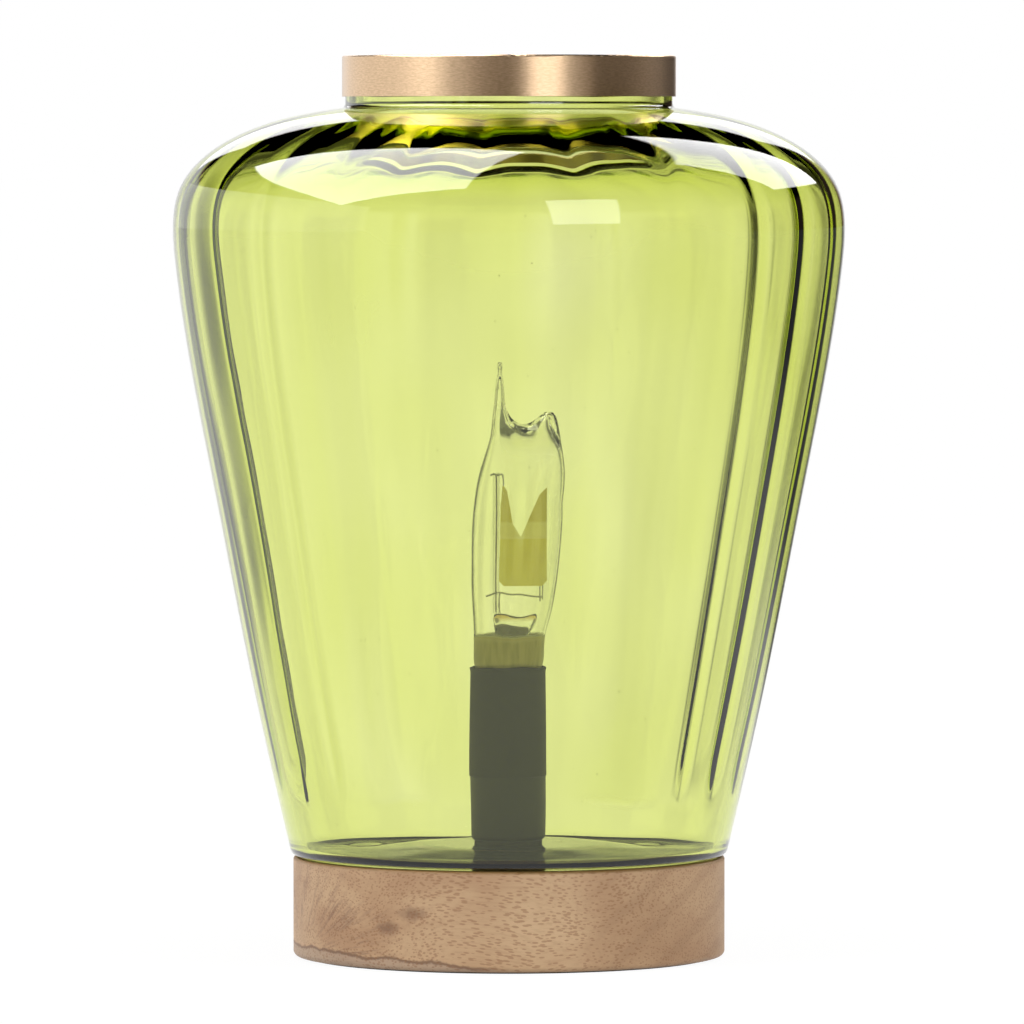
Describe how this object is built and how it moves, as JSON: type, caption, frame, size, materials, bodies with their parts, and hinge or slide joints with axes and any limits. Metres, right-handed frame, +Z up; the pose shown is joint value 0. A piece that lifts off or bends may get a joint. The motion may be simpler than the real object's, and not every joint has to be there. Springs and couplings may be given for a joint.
{
  "type": "table lamp",
  "caption": "Accent lamp: open-topped jar shade of ribbed green glass on a turned wooden disc, with a candle holder, a flame-shaped bulb and a brass neck band",
  "frame": {"origin": "centre of the underside, where the felt pad stands on the table, on the lamp's axis", "axes": "+Z up along the lamp's axis; -Y is the front, as pictured; +X is to the right of the front view"},
  "size_m": [0.1892, 0.1892, 0.254],
  "materials": {
    "felt": "dark grey pressed felt",
    "mango_wood": "satin lacquered mango wood with short brown flecks",
    "zinc_steel": "zinc-plated steel",
    "black_plastic": "matte black moulding",
    "black_rubber": "soft black rubber",
    "green_glass": "clear yellow-green blown glass, ribbed inside",
    "brushed_brass": "antique brass brushed around the band",
    "sleeve_card": "thin black paperboard candle sleeve",
    "phenolic": "dark moulded phenolic",
    "contact_brass": "bright pressed brass",
    "lead_black": "black wire insulation",
    "lead_white": "white wire insulation",
    "connector_grey": "grey twist-on connector",
    "bulb_glass": "thin clear lamp glass, hazed at the neck",
    "nickel_wire": "drawn nickel wire",
    "flame_plate": "coated grey flame-shaped electrode",
    "black_glass": "black glass insulator",
    "solder": "dull solder"
  },
  "bodies": {
    "lamp": {"felt_pad": "felt", "base_block": "mango_wood", "bottom_cover": "zinc_steel", "cover_screws": "zinc_steel", "cord_bushing": "black_plastic", "lamp_pipe": "zinc_steel", "base_washer": "zinc_steel", "base_nut": "zinc_steel", "seat_gasket": "black_rubber", "glass_shade": "green_glass", "glass_bush": "black_rubber", "collar_ring": "brushed_brass", "socket_cup": "black_plastic", "cup_washer": "zinc_steel", "cup_nut": "zinc_steel", "candle_sleeve": "sleeve_card", "socket_bracket": "zinc_steel", "socket_body": "phenolic", "socket_rivets": "contact_brass", "screw_shell": "contact_brass", "centre_contact": "contact_brass", "live_lead": "lead_black", "neutral_lead": "lead_white", "wire_connectors": "connector_grey"},
    "bulb": {"bulb_envelope": "bulb_glass", "bulb_stem": "bulb_glass", "support_rod": "bulb_glass", "support_wires": "nickel_wire", "electrode_front": "flame_plate", "electrode_back": "flame_plate", "bulb_cap": "contact_brass", "cap_insulator": "black_glass", "cap_contact": "solder"}
  },
  "joints": [
    {"name": "bulb_lift", "type": "slide", "parent": "lamp", "child": "bulb", "axis": [0, 0, 1], "range_m": [0, 0.2]}
  ]
}
